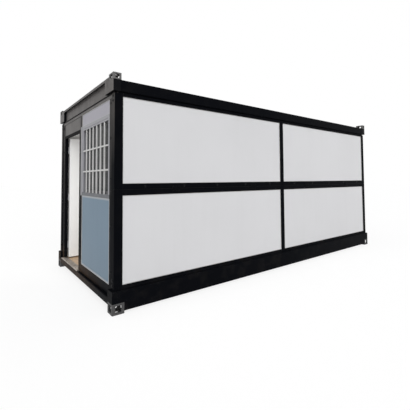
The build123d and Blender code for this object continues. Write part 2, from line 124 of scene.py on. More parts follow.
class HouseFinish(bpy.types.PropertyGroup):
    """Colours of the coats, with painted glare and painted shade among them."""

    frame_black: FloatVectorProperty(
        name="Frame", description="Paint of the steel frames",
        subtype="COLOR", default=(0.0034, 0.0038, 0.0052),
    )
    # Painted glare: the grey that the black end frames show on their front and rear faces.
    end_grey: FloatVectorProperty(
        name="End frame", description="Bleached paint of the roof's end beams and the door head",
        subtype="COLOR", default=(0.165, 0.156, 0.151),
    )
    panel_white: FloatVectorProperty(
        name="Wall panels", description="Coat of the wall panels",
        subtype="COLOR", default=(0.70, 0.70, 0.715),
    )
    # Painted shade: a blue-grey coat darkened to the panel's tone in shade.
    panel_blue: FloatVectorProperty(
        name="Front panel", description="Coat of the panel below the window",
        subtype="COLOR", default=(0.158, 0.242, 0.325),
    )
    # Painted shade: the white panel's colour in shade, a lilac grey.
    transom: FloatVectorProperty(
        name="Transom", description="Coat of the panel over the window",
        subtype="COLOR", default=(0.400, 0.390, 0.440),
    )
    lining: FloatVectorProperty(
        name="Lining", description="Inner wall and ceiling boards",
        subtype="COLOR", default=(0.78, 0.78, 0.77),
    )
    floor: FloatVectorProperty(
        name="Floor", description="Floor boards", subtype="COLOR", default=(0.58, 0.41, 0.26)
    )
    bars: FloatVectorProperty(
        name="Window bars", description="Paint of the window bars",
        subtype="COLOR", default=(0.64, 0.635, 0.63),
    )


class HouseBars(bpy.types.PropertyGroup):
    """Window bars."""

    uprights: IntProperty(
        name="Uprights", description="Standing bars across the window", default=6, min=1
    )
    crossbars: IntProperty(
        name="Crossbars", description="Level bars up the window", default=2, min=0
    )
    face: FloatProperty(
        name="Face", description="Width of a bar seen from the front", default=0.020, unit="LENGTH"
    )
    depth: FloatProperty(
        name="Depth", description="Depth of an upright", default=0.014, unit="LENGTH"
    )


class HouseFixings(bpy.types.PropertyGroup):
    """Bolts, screws and seams."""

    bolt: FloatProperty(
        name="Bolt", description="Radius of a bolt head", default=0.011, unit="LENGTH"
    )
    screw: FloatProperty(
        name="Screw", description="Radius of a screw head", default=0.0052, unit="LENGTH"
    )
    sealant: FloatProperty(
        name="Sealant", description="Radius of a sealant bead", default=0.005, unit="LENGTH"
    )
    weld: FloatProperty(
        name="Weld", description="Radius of a weld bead", default=0.005, unit="LENGTH"
    )


class HouseStage(bpy.types.PropertyGroup):
    """Camera and light."""

    lens: FloatProperty(name="Lens", description="Focal length in millimetres", default=26.677)
    key: FloatProperty(name="Key", description="Strength of the main lamp", default=1.50)
    fill: FloatProperty(name="Fill", description="Strength of the second lamp", default=0.20)
    room: FloatProperty(name="Room", description="Power of the soft lamp in the room", default=20.0)
    sky: FloatProperty(name="Sky", description="Light from all round", default=0.50)


# Node trees


class Value:
    """A socket of a tree under construction. Sums on it add Math nodes."""

    def __init__(self, graph, socket):
        self.graph = graph
        self.socket = socket

    def sum(self, operation, first, second=0.0):
        return self.graph.node("ShaderNodeMath", {0: first, 1: second}, operation=operation)

    def __add__(self, other):
        return self.sum("ADD", self, other)

    def __radd__(self, other):
        return self.sum("ADD", other, self)

    def __sub__(self, other):
        return self.sum("SUBTRACT", self, other)

    def __rsub__(self, other):
        return self.sum("SUBTRACT", other, self)

    def __mul__(self, other):
        return self.sum("MULTIPLY", self, other)

    def __rmul__(self, other):
        return self.sum("MULTIPLY", other, self)

    def __truediv__(self, other):
        return self.sum("DIVIDE", self, other)

    def __rtruediv__(self, other):
        return self.sum("DIVIDE", other, self)

    def __abs__(self):
        return self.sum("ABSOLUTE", self)

    def floor(self):
        return self.sum("FLOOR", self)

    def fraction(self):
        return self.sum("FRACT", self)

    def above(self, limit):
        return self.sum("GREATER_THAN", self, limit)

    def below(self, limit):
        return self.sum("LESS_THAN", self, limit)

    def most(self, other):
        return self.sum("MAXIMUM", self, other)


class Graph:
    """A node tree under construction, for a material, the world or geometry."""

    def __init__(self, tree):
        self.tree = tree

    def node(self, kind, sockets=None, out=0, **settings):
        """Adds a node: its settings first, then a value or links for each of its sockets."""
        node = self.tree.nodes.new(kind)
        for name, value in settings.items():
            setattr(node, name, value)
        for name, value in (sockets or {}).items():
            for one in value if isinstance(value, list) else [value]:
                if isinstance(one, Value):
                    self.tree.links.new(one.socket, node.inputs[name])
                else:
                    node.inputs[name].default_value = one
        return Value(self, node.outputs[out]) if node.outputs else None

    def shown_rays(self):
        """Masks of the camera's rays, and of these with the rays off metal and through glass."""
        rays = ("Is Camera Ray", "Is Glossy Ray", "Is Transmission Ray")
        seen, mirrored, through = (self.node("ShaderNodeLightPath", out=ray) for ray in rays)
        return seen, seen.most(mirrored).most(through)


class Coat(Graph):
    """A procedural material, patterned by the place on the house."""

    def __init__(self, name):
        self.material = bpy.data.materials.new(name)
        self.material.use_nodes = True
        super().__init__(self.material.node_tree)
        self.tree.nodes.clear()
        self.place = self.node("ShaderNodeTexCoord", out="Object")

    def noise(self, scale, detail=3.0, stretch=None, roughness=0.5):
        place = self.place
        if stretch:
            place = self.node("ShaderNodeMapping", {"Vector": place, "Scale": stretch})
        sockets = {"Vector": place, "Scale": scale, "Detail": detail, "Roughness": roughness}
        return self.node("ShaderNodeTexNoise", sockets)

    def span(self, value, low, high, to_low=0.0, to_high=1.0):
        """Stretches low to high over 0 to 1, or over the given ends, and holds it there."""
        sockets = {"Value": value, "From Min": low, "From Max": high}
        sockets |= {"To Min": to_low, "To Max": to_high}
        return self.node("ShaderNodeMapRange", sockets, clamp=True)

    def axis(self, name, vector=None):
        return self.node("ShaderNodeSeparateXYZ", {"Vector": vector or self.place}, name)

    def mix(self, share, first, second):
        def full(colour):
            return colour if isinstance(colour, Value) else (*colour[:3], 1.0)

        sockets = {0: share, 6: full(first), 7: full(second)}
        return self.node("ShaderNodeMix", sockets, 2, data_type="RGBA")

    def normal(self):
        return self.node("ShaderNodeNewGeometry", out="Normal")

    def rounded(self, radius):
        """The normal as if the edges had this radius."""
        return self.node("ShaderNodeBevel", {"Radius": radius}, samples=4)

    def edges(self, radius, gain):
        """Mask of the outer edges, from the angle between a rounded normal and the true one."""
        sockets = {0: self.rounded(radius), 1: self.normal()}
        facing = self.node("ShaderNodeVectorMath", sockets, "Value", operation="DOT_PRODUCT")
        return self.span(1.0 - facing, 0.0, gain)

    def bump(self, height, strength, distance, under=None):
        sockets = {"Height": height, "Strength": strength, "Distance": distance}
        if under:
            sockets["Normal"] = under
        return self.node("ShaderNodeBump", sockets)

    def finish(self, colour, rough, **others):
        """Ends the coat in a principled shader. Other sockets' names have _ for each space."""
        sockets = {name.replace("_", " "): value for name, value in others.items()}
        sockets |= {"Base Color": colour, "Roughness": rough}
        return self.end_in(self.node("ShaderNodeBsdfPrincipled", sockets))

    def end_in(self, shader):
        self.node("ShaderNodeOutputMaterial", {"Surface": shader})
        return self.material


def toned(colour, share):
    """The colour, darker or brighter by a share."""
    return tuple(min(1.0, c * share) for c in colour)


# Coats


def frame_paint(name, colour, gloss, glare_colour=(0.0, 0.0, 0.0), glare_from=0.0, glare_to=1.0):
    """Satin frame paint with road dust low down and edges rubbed through.

    Front faces below the doorway have trodden dirt. Front and rear faces get painted glare,
    in the glare colour, rising with height from one level to another.
    """
    coat = Coat(name)
    ahead = coat.axis("X", coat.normal())
    # Painted glare: faces that look along the length lighten towards the glare colour with height,
    # in patches.
    painted_glare = coat.span(abs(ahead), 0.5, 0.8) * coat.span(coat.axis("Z"), glare_from, glare_to)
    glare_patches = coat.span(coat.noise(4.0, 4.0, (1.0, 3.0, 0.4)), 0.25, 0.65, 0.72, 1.0)
    shade = coat.mix(painted_glare * glare_patches, colour, glare_colour)
    dust = coat.span(coat.noise(7.0, 4.0), 0.48, 0.75)
    low = coat.span(coat.axis("Z"), 0.55, 0.02)
    shade = coat.mix(dust * 0.010 + low * dust * 0.025, shade, (0.20, 0.175, 0.145))
    trodden = coat.span(ahead, -0.5, -0.8) * coat.span(coat.axis("Z"), 0.40, 0.26)
    trodden = trodden * coat.span(coat.axis("Y"), -0.85, -0.15)
    trodden = trodden * coat.span(coat.noise(5.0, 4.0), 0.30, 0.60, 0.45, 1.0)
    shade = coat.mix(trodden * 0.16, shade, (0.25, 0.16, 0.10))
    worn = coat.edges(0.006, 0.5) * coat.span(coat.noise(38.0, 4.0), 0.42, 0.66)
    shade = coat.mix(worn * 0.16, shade, (0.16, 0.16, 0.165))
    peel = coat.bump(coat.noise(620.0, 2.0), 0.10, 0.0004, coat.rounded(0.003))
    rough = 0.36 + coat.noise(3.0, 3.0) * 0.10 + dust * 0.10
    return coat.finish(shade, rough, Normal=peel, Specular_IOR_Level=gloss)


def coated_sheet(name, colour, grime):
    """Embossed coil-coated steel skin with a faint oil-can wave and rain dust."""
    coat = Coat(name)
    streak = coat.span(coat.noise(3.0, 4.0, (4.0, 4.0, 0.35)), 0.50, 0.78)
    cloud = coat.noise(0.8, 3.0)
    low = coat.span(coat.axis("Z"), 0.75, 0.30)
    shade = coat.mix(coat.span(cloud, 0.35, 0.7) * 0.35, colour, toned(colour, 0.90))
    shade = coat.mix(streak * grime + low * cloud * grime * 2.0, shade, (0.30, 0.275, 0.235))
    wave = coat.bump(coat.noise(1.1, 1.0, (1.0, 1.0, 0.7)), 0.05, 0.03, coat.rounded(0.002))
    emboss = coat.bump(coat.noise(260.0, 2.0), 0.16, 0.0006, wave)
    rough = 0.40 + cloud * 0.12 + streak * 0.05
    return coat.finish(shade, rough, Normal=emboss, Specular_IOR_Level=0.40)


def lining_board(colour):
    """White boards side by side along the house, with fine joints."""
    coat = Coat("White lining")
    width = 0.95
    along = (coat.axis("X") / width).fraction()
    joint = abs(along - 0.5).below(0.0026)
    cloud = coat.noise(1.6, 3.0)
    shade = coat.mix(coat.span(cloud, 0.3, 0.75) * 0.3, colour, toned(colour, 0.93))
    shade = coat.mix(joint * 0.55, shade, (0.22, 0.22, 0.22))
    pores = coat.bump(coat.noise(300.0, 2.0), 0.08, 0.0005, coat.bump(1.0 - joint, 0.5, 0.002))
    return coat.finish(shade, 0.42 + cloud * 0.10, Normal=pores)


def cast_steel():
    """Primer on sand-cast skin: darker low down, painted glare towards the roof, bare on edges."""
    coat = Coat("Corner casting")
    grit = coat.noise(150.0, 4.0)
    rust = coat.span(coat.noise(16.0, 5.0), 0.58, 0.76)
    worn = coat.edges(0.010, 0.6) * coat.span(coat.noise(34.0, 4.0), 0.38, 0.62)
    # Painted glare: the tones grow lighter with height, so the castings are darker towards the
    # floor.
    high = coat.span(coat.axis("Z"), 0.2, 2.4)
    dark = coat.mix(high, (0.040, 0.040, 0.043), (0.085, 0.084, 0.084))
    pale = coat.mix(high, (0.074, 0.073, 0.074), (0.155, 0.152, 0.148))
    shade = coat.mix(coat.span(grit, 0.3, 0.7), dark, pale)
    shade = coat.mix(rust * 0.30, shade, (0.15, 0.085, 0.045))
    shade = coat.mix(worn * 0.45, shade, (0.30, 0.30, 0.305))
    rough = 0.50 + grit * 0.18 + rust * 0.12
    skin = coat.bump(grit, 0.30, 0.0012, coat.rounded(0.006))
    return coat.finish(shade, rough, Metallic=0.3, Normal=skin)


def door_paint():
    """White paint, rubbed through on the leaf's edges."""
    coat = Coat("White door paint")
    cloud = coat.noise(2.2, 3.0)
    worn = coat.edges(0.006, 0.5) * coat.span(coat.noise(30.0, 4.0), 0.50, 0.68)
    tired = coat.span(cloud, 0.3, 0.75) * 0.3
    shade = coat.mix(tired, (0.74, 0.74, 0.735), (0.68, 0.68, 0.675))
    shade = coat.mix(worn * 0.35, shade, (0.34, 0.33, 0.32))
    peel = coat.bump(coat.noise(480.0, 2.0), 0.09, 0.0005, coat.rounded(0.003))
    return coat.finish(shade, 0.34 + cloud * 0.10, Normal=peel)


def roof_steel():
    """Spangled zinc with dust and the marks of standing water."""
    coat = Coat("Roof sheet")
    cells = {"Vector": coat.place, "Scale": 70.0}
    spangle = coat.node("ShaderNodeTexVoronoi", cells, "Distance")
    dust = coat.span(coat.noise(2.4, 5.0), 0.42, 0.72)
    ponds = coat.span(coat.noise(0.9, 4.0), 0.50, 0.70)
    shade = coat.mix(spangle * 0.35, (0.47, 0.48, 0.49), (0.56, 0.565, 0.57))
    shade = coat.mix(dust * 0.30 + ponds * 0.25, shade, (0.33, 0.30, 0.26))
    rough = 0.42 + dust * 0.22 + spangle * 0.06
    return coat.finish(shade, rough, Metallic=0.25, Normal=coat.bump(dust, 0.10, 0.001))


def floor_boards(colour):
    """Tan boards along the house: joints, grain and a board-to-board change of tone."""
    coat = Coat("Floor boards")

    def chance(number):
        return coat.node("ShaderNodeTexWhiteNoise", {"W": number}, "Value", noise_dimensions="1D")

    width, length = 0.20, 1.22
    lane = coat.axis("Y") / width
    row = lane.floor()
    along = coat.axis("X") / length + chance(row)
    tone = chance(along.floor() + row * 7.3)
    seam = abs(lane.fraction() - 0.5).above(0.490)
    seam = seam.most(abs(along.fraction() - 0.5).above(0.4985))
    grain = coat.noise(11.0, 6.0, (0.6, 9.0, 1.0), 0.6)
    shade = coat.mix(coat.span(grain, 0.32, 0.70), toned(colour, 0.62), toned(colour, 1.22))
    shade = coat.mix(tone * 0.35, shade, colour)
    shade = coat.mix(seam * 0.8, shade, toned(colour, 0.22))
    relief = coat.bump(grain, 0.18, 0.001, coat.bump(1.0 - seam, 0.6, 0.002))
    return coat.finish(shade, 0.46 + grain * 0.18, Normal=relief)


def window_metal(name, colour, sill=0.0):
    """Drawn aluminium, darker and blue-grey below the given level."""
    coat = Coat(name)
    brush = coat.noise(90.0, 3.0, (1.0, 1.0, 0.05))
    worn = coat.edges(0.004, 0.5) * coat.span(coat.noise(40.0, 3.0), 0.45, 0.65)
    shade = coat.mix(coat.span(brush, 0.3, 0.7), toned(colour, 0.84), colour)
    shade = coat.mix(worn * 0.3, shade, (0.60, 0.60, 0.61))
    # Darker, blue-grey tone below the given level, in patches.
    darkening = coat.span(coat.axis("Z"), sill + 0.006, sill - 0.004)
    darkening = darkening * coat.span(coat.noise(14.0, 3.0), 0.2, 0.5, 0.7, 1.0)
    shade = coat.mix(darkening * 0.8, shade, (0.035, 0.042, 0.055))
    relief = coat.bump(brush, 0.05, 0.0004)
    return coat.finish(shade, 0.34 + brush * 0.14, Metallic=0.35, Normal=relief)


def bar_paint(colour):
    """Chipped pale paint."""
    coat = Coat("Bar paint")
    cloud = coat.noise(24.0, 4.0)
    chips = coat.span(coat.noise(85.0, 3.0), 0.68, 0.74)
    shade = coat.mix(coat.span(cloud, 0.3, 0.7) * 0.5, colour, toned(colour, 0.82))
    shade = coat.mix(chips * 0.5, shade, (0.20, 0.19, 0.185))
    return coat.finish(shade, 0.36 + cloud * 0.12, Normal=coat.bump(cloud, 0.08, 0.0006))


def pane_glass():
    """Smeared glass, near black and mostly opaque: painted shade of the dark room behind."""
    coat = Coat("Window glass")
    smear = coat.span(coat.noise(6.0, 5.0), 0.45, 0.75)
    # Painted shade: near-black tones and a high alpha stand in for the dark room behind.
    shade = coat.mix(smear, (0.018, 0.021, 0.023), (0.045, 0.048, 0.050))
    cover = 0.84 + smear * 0.06
    return coat.finish(shade, 0.03 + smear * 0.10, Alpha=cover, Specular_IOR_Level=0.18)


def sill_metal():
    """Scratched, dirty metal underfoot."""
    coat = Coat("Door sill")
    scratch = coat.noise(60.0, 4.0, (0.15, 1.0, 1.0))
    darkening = coat.span(coat.noise(9.0, 4.0), 0.45, 0.72)
    marks = coat.span(scratch, 0.3, 0.7)
    shade = coat.mix(marks, (0.31, 0.262, 0.220), (0.45, 0.400, 0.350))
    shade = coat.mix(darkening * 0.5, shade, (0.13, 0.10, 0.08))
    relief = coat.bump(scratch, 0.12, 0.0005)
    return coat.finish(shade, 0.34 + darkening * 0.2, Metallic=0.7, Normal=relief)


def bare_steel(name, colour, stretch):
    """Brushed and stained steel or zinc."""
    coat = Coat(name)
    brush = coat.noise(140.0, 3.0, stretch)
    stain = coat.span(coat.noise(20.0, 3.0), 0.45, 0.75)
    shade = coat.mix(coat.span(brush, 0.3, 0.7), toned(colour, 0.82), colour)
    shade = coat.mix(stain * 0.25, shade, (0.22, 0.20, 0.18))
    rough = 0.28 + brush * 0.16 + stain * 0.1
    return coat.finish(shade, rough, Metallic=0.9, Normal=coat.bump(brush, 0.08, 0.0004))


def rubber():
    """Dull black rubber."""
    coat = Coat("Gasket rubber")
    cloud = coat.noise(60.0, 3.0)
    shade = coat.mix(coat.span(cloud, 0.3, 0.7), (0.005, 0.005, 0.0055), (0.013, 0.013, 0.0135))
    relief = coat.bump(cloud, 0.2, 0.0006)
    return coat.finish(shade, 0.66 + cloud * 0.14, Normal=relief, Specular_IOR_Level=0.12)


def sealant():
    """Pale sealant that has caught dirt."""
    coat = Coat("Joint sealant")
    cloud = coat.noise(45.0, 4.0)
    shade = coat.mix(coat.span(cloud, 0.35, 0.75), (0.56, 0.56, 0.555), (0.42, 0.41, 0.395))
    return coat.finish(shade, 0.48 + cloud * 0.15, Normal=coat.bump(cloud, 0.3, 0.001))


# Objects


def add_object(name, data, place=(0.0, 0.0, 0.0), turn=(0.0, 0.0, 0.0)):
    """Puts a new object in the scene, turned by angles in degrees."""
    thing = bpy.data.objects.new(name, data)
    thing.location = place
    thing.rotation_euler = [math.radians(angle) for angle in turn]
    bpy.context.scene.collection.objects.link(thing)
    return thing


# Meshes that geometry trees grow


def tree_with(name, sizes):
    """A geometry tree with named inputs. Gives its graph and a value for each input."""
    tree = bpy.data.node_groups.new(name, "GeometryNodeTree")
    tree.interface.new_socket("Geometry", in_out="OUTPUT", socket_type="NodeSocketGeometry")
    kinds = {"Source": "Geometry", **sizes, "Material": "Material"}
    for label, kind in kinds.items():
        tree.interface.new_socket(label, in_out="INPUT", socket_type=f"NodeSocket{kind}")
    graph = Graph(tree)
    return graph, {label: graph.node("NodeGroupInput", out=label) for label in kinds}


def close_tree(graph, inputs, shape):
    """Ends the tree in real, painted geometry."""
    real = graph.node("GeometryNodeRealizeInstances", {"Geometry": shape})
    sockets = {"Geometry": real, "Material": inputs["Material"]}
    painted = graph.node("GeometryNodeSetMaterial", sockets)
    graph.node("NodeGroupOutput", {"Geometry": painted})
    return graph.tree


def bars_tree():
    """Standing and level bars that fill a window of the given width and height."""
    sizes = {name: "Float" for name in ("Width", "Height", "Face", "Depth")}
    sizes |= {"Uprights": "Int", "Crossbars": "Int", "Place": "Vector"}
    graph, size = tree_with("Window bars", sizes)

    def vector(x, y, z):
        return graph.node("ShaderNodeCombineXYZ", {"X": x, "Y": y, "Z": z})

    def row(count, step, reach, depth, radius):
        """Like bars, each a step from the last."""
        sockets = {"Width": depth, "Height": size["Face"]}
        square = graph.node("GeometryNodeCurvePrimitiveQuadrilateral", sockets)
        sockets = {"Curve": square, "Count": 3, "Radius": radius}
        soft = graph.node("GeometryNodeFilletCurve", sockets, mode="POLY")
        path = graph.node("GeometryNodeCurvePrimitiveLine", {"End": reach})
        sockets = {"Curve": path, "Profile Curve": soft, "Fill Caps": True}
        bar = graph.node("GeometryNodeCurveToMesh", sockets)
        sockets = {"Count": count, "Start Location": step, "Offset": step}
        line = graph.node("GeometryNodeMeshLine", sockets, mode="OFFSET")
        return graph.node("GeometryNodeInstanceOnPoints", {"Points": line, "Instance": bar})

    width, height, depth = size["Width"], size["Height"], size["Depth"]
    across = vector(0.0, width / (size["Uprights"] + 1.0), 0.0)
    upward = vector(0.0, 0.0, height / (size["Crossbars"] + 1.0))
    posts = row(size["Uprights"], across, vector(0.0, 0.0, height), depth, 0.003)
    beams = row(size["Crossbars"], upward, vector(0.0, width, 0.0), depth * 0.62, 0.002)
    both = graph.node("GeometryNodeJoinGeometry", {"Geometry": [posts, beams]})
    sockets = {"Geometry": both, "Translation": size["Place"]}
    return close_tree(graph, size, graph.node("GeometryNodeTransform", sockets))


def heads_tree(name, sides, washer):
    """A fastener head at each point of the source, along the point's own direction."""
    graph, size = tree_with(name, {"Radius": "Float", "Height": "Float"})
    radius, height = size["Radius"], size["Height"]
    sockets = {"Name": "facing"}
    facing = graph.node("GeometryNodeInputNamedAttribute", sockets, data_type="FLOAT_VECTOR")
    turn = graph.node("FunctionNodeAlignRotationToVector", {"Vector": facing}, axis="Z")
    sockets = {"Vertices": sides, "Radius Top": radius * 0.82, "Radius Bottom": radius}
    parts = [graph.node("GeometryNodeMeshCone", {**sockets, "Depth": height})]
    if washer:
        sockets = {"Vertices": 18, "Radius": radius * 1.55, "Depth": height * 0.5}
        parts.append(graph.node("GeometryNodeMeshCylinder", sockets))
    fastener = graph.node("GeometryNodeJoinGeometry", {"Geometry": parts})
    sockets = {"Points": size["Source"], "Instance": fastener, "Rotation": turn}
    return close_tree(graph, size, graph.node("GeometryNodeInstanceOnPoints", sockets))


def bead_tree(name, ripple=False):
    """A bead along the edges of the source, rippled as a weld or smooth as a sealant."""
    graph, size = tree_with(name, {"Radius": "Float"})
    path = graph.node("GeometryNodeMeshToCurve", {"Mesh": size["Source"]})
    if ripple:
        sockets = {"Curve": path, "Length": 0.006}
        path = graph.node("GeometryNodeResampleCurve", sockets, mode="LENGTH")
    sockets = {"Resolution": 8, "Radius": size["Radius"]}
    circle = graph.node("GeometryNodeCurvePrimitiveCircle", sockets, mode="RADIUS")
    sockets = {"Curve": path, "Profile Curve": circle, "Fill Caps": True}
    bead = graph.node("GeometryNodeCurveToMesh", sockets)
    if ripple:
        spot = graph.node("GeometryNodeInputPosition")
        sockets = {"Vector": spot, "Scale": 120.0, "Detail": 1.0}
        lumps = graph.node("ShaderNodeTexNoise", sockets)
        reach = (lumps - 0.5) * size["Radius"] * 0.9
        sockets = {0: graph.node("GeometryNodeInputNormal"), "Scale": reach}
        push = graph.node("ShaderNodeVectorMath", sockets, operation="SCALE")
        bead = graph.node("GeometryNodeSetPosition", {"Geometry": bead, "Offset": push})
    smooth = graph.node("GeometryNodeSetShadeSmooth", {"Geometry": bead})
    return close_tree(graph, size, smooth)


def grow(name, tree, material, values, source=None):
    """Runs a geometry tree on a source mesh and leaves a plain mesh at the origin."""
    piece = add_object(name, source or bpy.data.meshes.new(name))
    modifier = piece.modifiers.new("Shape", "NODES")
    modifier.node_group = tree
    given = {**values, "Material": material}
    for item in tree.interface.items_tree:
        if item.in_out == "INPUT" and item.name in given:
            modifier[item.identifier] = given[item.name]
    graph = bpy.context.evaluated_depsgraph_get()
    mesh = bpy.data.meshes.new_from_object(piece.evaluated_get(graph))
    piece.modifiers.clear()
    piece.data = mesh
    mesh.name = name
    if not mesh.vertices:
        raise RuntimeError(f"{name} came out empty")
    return piece


def heads(name, tree, material, radius, height, places):
    """Fastener heads. A place is a point and the direction that the head looks in."""
    mesh = bpy.data.meshes.new("seed")
    mesh.from_pydata([point for point, _ in places], [], [])
    facing = mesh.attributes.new("facing", "FLOAT_VECTOR", "POINT")
    facing.data.foreach_set("vector", [c for _, direction in places for c in direction])
    return grow(name, tree, material, {"Radius": radius, "Height": height}, mesh)


def beads(name, tree, material, radius, paths):
    """Beads along paths. A path whose last point is its first closes."""
    verts, edges = [], []
    for path in paths:
        closed, first = path[0] == path[-1], len(verts)
        verts += path[:-1] if closed else path
        edges += [(i, i + 1) for i in range(first, len(verts) - 1)]
        if closed:
            edges.append((len(verts) - 1, first))
    mesh = bpy.data.meshes.new("seed")
    mesh.from_pydata(verts, edges, [])
    return grow(name, tree, material, {"Radius": radius}, mesh)


# Other meshes


def new_piece(name, form, material):
    """Turns a finished form into a painted object at the origin."""
    mesh = bpy.data.meshes.new(name)
    bmesh.ops.recalc_face_normals(form, faces=form.faces)
    form.to_mesh(mesh)
    form.free()
    mesh.materials.append(material)
    return add_object(name, mesh)


def pierced_plate(name, material, rims, steel):
    """A plate with a hole. Its rims: outer and inner behind, then outer and inner in front."""
    form = bmesh.new()
    loops = [[form.verts.new(corner) for corner in rim[:4]] for rim in rims]
    for i in range(4):
        j = (i + 1) % 4
        for a, b in ((0, 1), (3, 2), (1, 3), (2, 0)):
            form.faces.new((loops[a][i], loops[a][j], loops[b][j], loops[b][i]))
    front = {*loops[2], *loops[3]}
    edges = [edge for edge in form.edges if front.issuperset(edge.verts)]
    bmesh.ops.bevel(form, geom=edges, offset=steel * 0.4, segments=2, affect="EDGES")
    return new_piece(name, form, material)


def soft_blocks(name, material, blocks, radius):
    """Rounded small bodies, each given by its middle and its size."""
    form = bmesh.new()
    for centre, size in blocks:
        made = bmesh.ops.create_cube(form, size=1.0)["verts"]
        bmesh.ops.scale(form, vec=size, verts=made)
        bmesh.ops.translate(form, vec=centre, verts=made)
        rims = list({edge for vert in made for edge in vert.link_edges})
        bmesh.ops.bevel(form, geom=rims, offset=radius, segments=3, profile=0.5, affect="EDGES")
    return new_piece(name, form, material)


def settle(piece, body="house"):
    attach(piece, body)


def end_rect(x, y0, y1, z0, z1, inset=0.0):
    """A closed rectangle in a plane across the length, drawn in by an inset."""
    y0, y1, z0, z1 = y0 + inset, y1 - inset, z0 + inset, z1 - inset
    return [(x, y0, z0), (x, y1, z0), (x, y1, z1), (x, y0, z1), (x, y0, z0)]


def side_rect(y, x0, x1, z0, z1, inset=0.0):
    """A closed rectangle in a plane along the length, drawn in by an inset."""
    x0, x1, z0, z1 = x0 + inset, x1 - inset, z0 + inset, z1 - inset
    return [(x0, y, z0), (x1, y, z0), (x1, y, z1), (x0, y, z1), (x0, y, z0)]


def steps(low, high, count):
    return [low + (high - low) * i / (count - 1) for i in range(count)]


# Operators


class HOUSE_OT_finishes(bpy.types.Operator):
    """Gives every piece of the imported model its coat"""

    bl_idname = "house.finishes"
    bl_label = "Finishes"

    def execute(self, context):
        colours = context.scene.house_finish
        # Painted glare colours: end_grey for the end frames, and a dimmer copy for the side frames
        # and posts.
        black, grey = colours.frame_black, colours.end_grey
        dim_glare = toned(grey, 0.52)
        sill = WINDOW[0][2] + WINDOW_RIM
        coats = {
            # Side frames: dimmer painted glare on front and rear faces from 1.1 m up.
            "frame_black": frame_paint("Frame paint", black, 0.012, dim_glare, 1.10, 2.55),
            # End frames: end_grey painted glare on front and rear faces from 1.0 m up.
            "end_grey": frame_paint("End frame paint", black, 0.05, grey, 1.0, 1.5),
            "casting_grey": cast_steel(),
            "panel_white": coated_sheet("White panel skin", colours.panel_white, 0.022),
            # Blue-grey coat, darkened as painted shade.
            "panel_blue_grey": coated_sheet("Blue-grey panel skin", colours.panel_blue, 0.04),
            "lining_white": lining_board(colours.lining),
            "door_white": door_paint(),
            "roof_grey": roof_steel(),
            "floor_wood": floor_boards(colours.floor),
            "window_grey": window_metal("Window profile", WINDOW_TONE, sill),
            "clear_glass": pane_glass(),
            "sill_metal": sill_metal(),
            "handle_steel": bare_steel("Handle steel", (0.60, 0.60, 0.605), LEVEL),
            "hinge_steel": bare_steel("Hinge steel", (0.48, 0.48, 0.49), UPRIGHT),
        }
        parts = frame["record"]["subparts"]
        wears = {part["node"]: coats[part["material_slot"]] for part in parts}
        # Transom: a lilac-grey coat of painted shade.
        wears["front_transom_panel"] = coated_sheet("Transom skin", colours.transom, 0.04)
        wears["window_sashes"] = window_metal("Sash profile", (0.075, 0.075, 0.082))
        wears["door_frame"] = frame_paint("Door frame paint", black, 0.008)
        # Posts: dimmer painted glare on front and rear faces from 1.6 m up.
        posts = frame_paint("Post paint", black, 0.008, dim_glare, 1.60, 2.20)
        for side in ("left", "right"):
            for half in ("lower", "upper"):
                wears[f"{side}_{half}_posts"] = posts
        for name, coat in wears.items():
            for slot in NODES[name].material_slots:
                slot.material = coat
        return {"FINISHED"}


class HOUSE_OT_window_bars(bpy.types.Operator):
    """Sets the bars in the window opening, the trim over them and the lap strip beside"""

    bl_idname = "house.window_bars"
    bl_label = "Window bars"

    def execute(self, context):
        bars = context.scene.house_bars
        low, high = WINDOW
        rim, cover, trim = WINDOW_RIM, 0.016, 0.022
        values = {
            "Width": high[1] - low[1] - 2 * rim,
            "Height": high[2] - low[2] - 2 * rim - trim,
            "Uprights": bars.uprights,
            "Crossbars": bars.crossbars,
            "Face": bars.face,
            "Depth": bars.depth,
            "Place": (low[0] + bars.depth / 2 + 0.001, low[1] + rim, low[2] + rim),
        }
        paint = bar_paint(context.scene.house_finish.bars)
        settle(grow("window_bars", bars_tree(), paint, values))

        metal = window_metal("Window head trim", WINDOW_TONE)
        middle = (low[0] + cover / 2, (low[1] + high[1]) / 2, high[2] - rim - trim / 2)
        block = (middle, (cover, values["Width"], trim))
        settle(soft_blocks("window_head_trim", metal, [block], 0.004))

        steel, lap, tuck = 0.005, 0.056, 0.002
        metal = window_metal("Window lap strip", (0.29, 0.29, 0.31))
        middle = (low[0] - 0.001, high[1] + lap / 2 - tuck, (low[2] + high[2]) / 2)
        block = (middle, (steel, lap, high[2] - low[2]))
        settle(soft_blocks("window_lap_strip", metal, [block], 0.0012))
        return {"FINISHED"}


class HOUSE_OT_panel_trim(bpy.types.Operator):
    """Frames the panel below the window with a thin edge trim"""

    bl_idname = "house.panel_trim"
    bl_label = "Panel trim"

    def execute(self, context):
        (face, y0, z0), (_, y1, z1) = FRONT_PANEL
        width, steel = 0.022, 0.003
        depths = (face, face - steel)
        rims = [end_rect(x, y0, y1, z0, z1, inset) for x in depths for inset in (0.0, width)]
        metal = window_metal("Panel edge trim", (0.36, 0.40, 0.45))
        settle(pierced_plate("front_panel_trim", metal, rims, steel))
        return {"FINISHED"}


